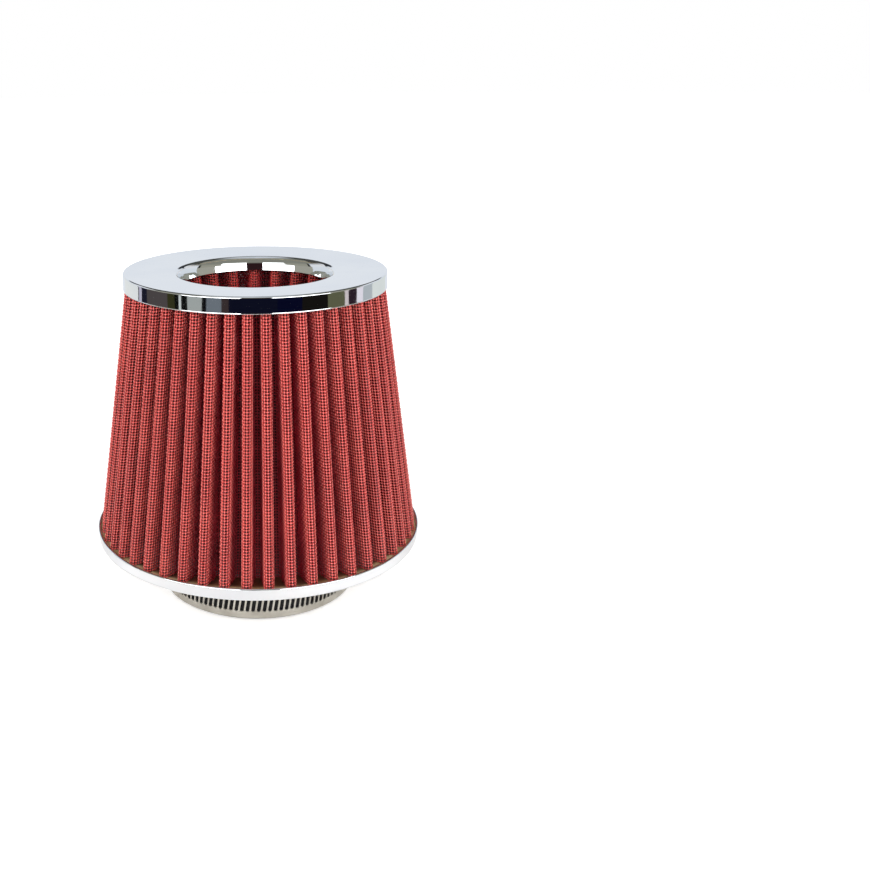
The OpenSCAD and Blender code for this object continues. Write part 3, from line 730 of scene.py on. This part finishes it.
def makeSlottedBand():
    # Cells set end to end, then bent round the neck and lapped over their own start
    tree, given, result = newTree("slottedBand", (
        ("Slotted cell", "Object"), ("Plain cell", "Object"), ("Cells", "Int"), ("First slot", "Int"),
        ("Last slot", "Int"), ("First lap slot", "Int"), ("Last lap slot", "Int"), ("Start angle", "Float"),
        ("Cell angle", "Float"), ("Ramp start", "Float"), ("Ramp end", "Float"), ("Radius", "Float"),
        ("Lap radius", "Float"), ("Middle height", "Float"), ("Thickness", "Float"), ("Material", "Material")))
    line = addNode(tree, "GeometryNodeMeshLine", {"Count": given["Cells"], "Offset": (1, 0, 0)})
    index = addNode(tree, "GeometryNodeInputIndex")
    inside = []
    for first, last in (("First slot", "Last slot"), ("First lap slot", "Last lap slot")):
        low = addNode(tree, maths, {0: given[first], 1: 0.5}, operation="SUBTRACT")
        high = addNode(tree, maths, {0: given[last], 1: 0.5}, operation="ADD")
        past = addNode(tree, maths, {0: index, 1: low}, operation="GREATER_THAN")
        before = addNode(tree, maths, {0: index, 1: high}, operation="LESS_THAN")
        inside.append(addNode(tree, maths, {0: past, 1: before}, operation="MULTIPLY"))
    slotted = addNode(tree, maths, {0: inside[0], 1: inside[1]}, operation="MAXIMUM")
    plain = addNode(tree, maths, {0: 1.0, 1: slotted}, operation="SUBTRACT")
    joined = addNode(tree, "GeometryNodeJoinGeometry")
    for cell, chosen in (("Slotted cell", slotted), ("Plain cell", plain)):
        shape = addNode(tree, "GeometryNodeObjectInfo", {"Object": given[cell]}).outputs["Geometry"]
        placed = addNode(tree, "GeometryNodeInstanceOnPoints", {
            "Points": line, "Selection": chosen, "Instance": shape})
        whole = addNode(tree, "GeometryNodeRealizeInstances", {"Geometry": placed})
        fillInputs(tree, joined, {0: whole})
    strip = addNode(tree, "GeometryNodeMergeByDistance", {"Geometry": joined, "Distance": 0.02 * mm})
    here = addNode(tree, "ShaderNodeSeparateXYZ", {0: addNode(tree, "GeometryNodeInputPosition")}).outputs
    angle = addNode(tree, maths, {0: here["X"], 1: given["Cell angle"], 2: given["Start angle"]},
                    operation="MULTIPLY_ADD")
    radius = addNode(tree, mapRange, {
        "Value": angle, "From Min": given["Ramp start"], "From Max": given["Ramp end"],
        "To Min": given["Radius"], "To Max": given["Lap radius"]})
    reach = addNode(tree, maths, {0: given["Thickness"], 1: here["Y"], 2: radius}, operation="MULTIPLY_ADD")
    cosine, sine = (addNode(tree, maths, {0: angle}, operation=wave) for wave in ("COSINE", "SINE"))
    place = addNode(tree, "ShaderNodeCombineXYZ", {
        "X": addNode(tree, maths, {0: reach, 1: cosine}, operation="MULTIPLY"),
        "Y": addNode(tree, maths, {0: reach, 1: sine}, operation="MULTIPLY"),
        "Z": addNode(tree, maths, {0: here["Z"], 1: given["Middle height"]}, operation="ADD")})
    bent = addNode(tree, "GeometryNodeSetPosition", {"Geometry": strip, "Position": place})
    return finishTree(tree, bent, given, result)


def makeBand(size):
    cellAngle = 2 * math.asin(size["pitch"] / 2 / (size["radius"] + size["thickness"]))
    start = math.radians(size["housing"] - size["startBefore"])
    rampEnd = start - math.radians(size["ramp"]) + 2 * math.pi
    rampStart = rampEnd - math.radians(size["ramp"])
    tailEnd = math.radians(size["housing"] + size["tail"]) + 2 * math.pi
    cells = int((tailEnd - start) / cellAngle)

    def cellAt(angle):
        return (angle - start) / cellAngle - 0.5

    slottedCell, plainCell = bandCell("slottedCell", size, True), bandCell("plainCell", size, False)
    piece = growPiece("clampBandStrip", makeSlottedBand(), {
        "Slotted cell": slottedCell, "Plain cell": plainCell, "Cells": cells,
        "First slot": math.ceil(cellAt(tailEnd - 2 * math.pi) + 1), "Last slot": math.floor(cellAt(rampStart) - 1),
        "First lap slot": math.ceil(cellAt(rampEnd) + 1), "Last lap slot": cells - 2,
        "Start angle": start, "Cell angle": cellAngle, "Ramp start": rampStart, "Ramp end": rampEnd,
        "Radius": size["radius"] * mm, "Lap radius": (size["radius"] + size["thickness"] + size["lapGap"]) * mm,
        "Middle height": (size["low"] + size["width"] / 2) * mm, "Thickness": size["thickness"] * mm,
        "Material": stainless})
    bpy.data.objects.remove(slottedCell)
    bpy.data.objects.remove(plainCell)
    grid = bmesh.new()
    grid.from_mesh(piece.data)
    bmesh.ops.holes_fill(grid, edges=[e for e in grid.edges if e.is_boundary], sides=0)
    grid.to_mesh(piece.data)
    grid.free()
    return finishPiece(piece, "filter", ["clamp_band"], 35)


makeBand(band)
# The clamp's drive: each piece's node, its edges' bevel in mm, its material, body and slot
drive = {
    "clampSaddlePlate": ("clamp_saddle", 0.12, stainless, "filter", "stainless"),
    "clampHousingPressing": ("clamp_housing", 0.15, stainless, "filter", "stainless"),
    "clampWormScrew": ("clamp_screw", 0.18, screwSteel, "screw", "screw_steel"),
}
for name, (nodeName, bevel, material, body, slot) in drive.items():
    finishPiece(softenedNode(name, nodeName, bevel, material), body, [nodeName], 40)
for nodeName in ("outer_seam_clip", "inner_seam_clip"):
    nodes[nodeName].data.materials.clear()
    nodes[nodeName].data.materials.append(clipSteel)
print("neck and clamp made")


# Lengths in metres, angles in degrees, the rest in the photograph's pixels
photoView = {"place": (0.0, -0.4848, 0.2469), "pitch": 19.67, "roll": -0.72, "focal": 1080, "centreX": 257.13,
             "pixels": 870}


def makeCamera(view):
    pitch, roll = math.radians(view["pitch"]), math.radians(view["roll"])
    right, up = Vector((1, 0, 0)), Vector((0, math.sin(pitch), math.cos(pitch)))
    forward = Vector((0, math.cos(pitch), -math.sin(pitch)))
    tiltedRight = right * math.cos(roll) + up * math.sin(roll)
    tiltedUp = up * math.cos(roll) - right * math.sin(roll)
    data = bpy.data.cameras.new("photoCamera")
    data.sensor_width = 36.0
    data.lens = view["focal"] / view["pixels"] * data.sensor_width
    data.shift_x = (view["pixels"] / 2 - view["centreX"]) / view["pixels"]
    data.clip_start, data.clip_end = 0.01, 50.0
    camera = newObject("photoCamera", data)
    turn = Matrix((tiltedRight, tiltedUp, -forward)).transposed().to_4x4()
    camera.matrix_world = Matrix.Translation(view["place"]) @ turn
    bpy.context.scene.camera = camera


makeCamera(photoView)
bpy.context.scene.view_settings.view_transform = "Standard"

# The room that the chrome reflects. Azimuths are in degrees, 0 at the camera and rising to its right, and
# each span runs up to the next one's start. A layer has the height where it starts, in degrees above the
# horizon, and how softly it does. Pure white spans are lamp boxes.
room = {
    "layers": (("bench", -20.5, 1.0), ("desk", 3.0, 1.0), ("boxes", 19.5, 1.0), ("crown", 31.0, 4.0),
               ("ceiling", 66.0, 6.0)),
    "ragged": 0.012, "fill": 0.36, "boxPower": 4.0,
    "paper": "f6f6f6",
    "bench": ((-180, "e6eaf0"), (-152, "e6e8e6"), (-119, "262636"), (-117, "bcb8c8"), (-113, "1c1c2a"),
              (-106, "4c4646"), (-80, "34341e"), (-72, "0c0e0c"), (-68, "d0d4d0"), (-65, "0c0e0c"), (-60, "a6aaa6"),
              (-45.5, "050507"), (-42.5, "6e757c"), (-29, "3a3030"), (-23, "0e1020"), (18, "080a22"),
              (38, "161412"), (62, "5e5f48"), (80, "d2c6c6"), (84.5, "2c2029"), (93, "e8e2ea"), (103, "b4babe"),
              (117, "e0e4e0"), (150, "e6eaf0")),
    "desk": ((-180, "e6eaf0"), (-150, "dde2e8"), (-104, "a4a296"), (-66, "ffffff"), (-14, "2c1a1c"),
             (13, "ffffff"), (66, "a4a296"), (104, "dde2e8"), (150, "e6eaf0")),
    "boxes": ((-180, "34363a"), (-138, "e4e6ea"), (-100, "1c1c1a"), (-95, "9a988a"), (-50, "ffffff"), (-14, "2c1a1c"),
              (13, "ffffff"), (55, "9a988a"), (98, "1c1c1a"), (103, "e4e6ea"), (138, "34363a")),
    "crown": ((-180, "4a4a46"), (-105, "85857a"), (105, "4a4a46")),
    "ceiling": ((-180, "dfe3e8"), (0, "d6dade")),
}


def spread(tree, share, spans, boxPower):
    # Spans round the room as a stepped ramp
    stops = [((azimuth + 180) / 360, hexColour) for azimuth, hexColour in spans]
    ramp = addNode(tree, colourRamp, {"Fac": share}, stops=stops)
    ramp.color_ramp.interpolation = "CONSTANT"
    for element, (azimuth, hexColour) in zip(ramp.color_ramp.elements, spans):
        if hexColour == "ffffff":
            element.color = linear(hexColour, boxPower)
    return ramp


def makeRoom(size):
    world = bpy.data.worlds.new("whiteStudio")
    bpy.context.scene.world = world
    world.use_nodes = True
    tree = world.node_tree
    direction = addNode(tree, "ShaderNodeTexCoord").outputs["Generated"]
    way = addNode(tree, "ShaderNodeSeparateXYZ", {0: direction}).outputs
    ahead = addNode(tree, maths, {0: way["Y"], 1: -1.0}, operation="MULTIPLY")
    azimuth = addNode(tree, maths, {0: way["X"], 1: ahead}, operation="ARCTAN2")
    straight = addNode(tree, maths, {0: azimuth, 1: 0.5 / math.pi, 2: 0.5 - size["ragged"] / 2},
                       operation="MULTIPLY_ADD")
    clutter = addNode(tree, noiseTexture, {"Vector": direction, "Scale": 14.0, "Detail": 3.0})
    share = addNode(tree, maths, {0: clutter, 1: size["ragged"], 2: straight}, operation="MULTIPLY_ADD")
    climb = addNode(tree, maths, {0: way["Z"]}, operation="ARCSINE")
    height = addNode(tree, maths, {0: climb}, operation="DEGREES")
    colour = addNode(tree, "ShaderNodeRGB")
    colour.outputs[0].default_value = linear(size["paper"])
    for layer, start, soft in size["layers"]:
        passed = addNode(tree, mapRange, {
            "Value": height, "From Min": start - soft, "From Max": start + soft})
        spans = spread(tree, share, size[layer], size["boxPower"])
        colour = addNode(tree, mix, {0: passed, 6: colour, 7: spans}, data_type="RGBA")
    path = addNode(tree, "ShaderNodeLightPath").outputs
    mirrored = addNode(tree, maths, {0: path["Is Glossy Ray"], 1: path["Is Transmission Ray"]}, operation="MAXIMUM")
    shown = addNode(tree, mix, {0: mirrored, 6: linear("ffffff"), 7: colour}, data_type="RGBA")
    bright = addNode(tree, maths, {0: path["Is Camera Ray"], 1: mirrored}, operation="MAXIMUM")
    strength = addNode(tree, mapRange, {"Value": bright, "To Min": size["fill"], "To Max": 1.0})
    fillInputs(tree, tree.nodes["Background"], {"Color": shown, "Strength": strength})


makeRoom(room)

# The paper glows for the camera only, so that the shadow stays soft and pale. The glow grows with
# distance, where the lamps no longer reach, up to plain white.
floor = {"colour": "f3f1ef", "glow": 0.35, "glowStart": 0.3, "glowFull": 1.2, "near": 0.45, "far": 6.0, "sides": 64}


def makeFloor(size):
    material, tree, shader, point = newMaterial(
        "whitePaperFloor", Roughness=0.9, Base_Color=linear(size["colour"]), Specular_IOR_Level=0.0,
        Emission_Color=linear("ffffff"))
    away = addNode(tree, vectorMaths, {0: point}, operation="LENGTH").outputs["Value"]
    grown = addNode(tree, mapRange, {
        "Value": away, "From Min": size["glowStart"], "From Max": size["glowFull"], "To Min": size["glow"]})
    seen = addNode(tree, "ShaderNodeLightPath").outputs["Is Camera Ray"]
    fillInputs(tree, shader, {"Emission Strength": addNode(tree, maths, {0: seen, 1: grown}, operation="MULTIPLY")})
    # The near disc shows in the chrome. Past it the chrome shows the room instead.
    sides = size["sides"]
    turns = [2 * math.pi * k / sides for k in range(sides)]
    near, far = ([(r * math.cos(a), r * math.sin(a), 0.0) for a in turns] for r in (size["near"], size["far"]))
    ring = [(k, sides + k, sides + (k + 1) % sides, (k + 1) % sides) for k in range(sides)]
    for name, points, faces in (
            ("paperUnderObject", near, [tuple(range(sides))]), ("paperBeyond", near + far, ring)):
        mesh = bpy.data.meshes.new(name)
        mesh.from_pydata(points, [], faces)
        mesh.materials.append(material)
        paper = newObject(name, mesh)
        paper.visible_glossy = points is near


makeFloor(floor)

# Lamps stand to both sides of the camera, above it and behind the object, and aim at its middle. The
# chrome shows the room's white boxes instead of them.
lampAim = Vector((0, 0, 0.08))
lamps = {
    "leftLamp": {"place": (-0.80, -0.55, 0.72), "size": 0.5, "power": 7.5},
    "rightLamp": {"place": (0.80, -0.60, 0.70), "size": 0.5, "power": 6.8},
    "frontLamp": {"place": (0.05, -1.10, 0.36), "size": 0.5, "power": 5.6},
    "rearLamp": {"place": (0.25, 0.85, 0.95), "size": 0.7, "power": 6.0},
}


def areaLamp(name, size):
    data = bpy.data.lights.new(name, "AREA")
    data.shape = "DISK"
    data.size = size["size"]
    data.energy = size["power"]
    lamp = newObject(name, data)
    lamp.location = size["place"]
    lamp.rotation_mode = "QUATERNION"
    lamp.rotation_quaternion = (lampAim - lamp.location).to_track_quat("-Z", "Y")
    lamp.visible_glossy = False


for name, size in lamps.items():
    areaLamp(name, size)
print("studio made")
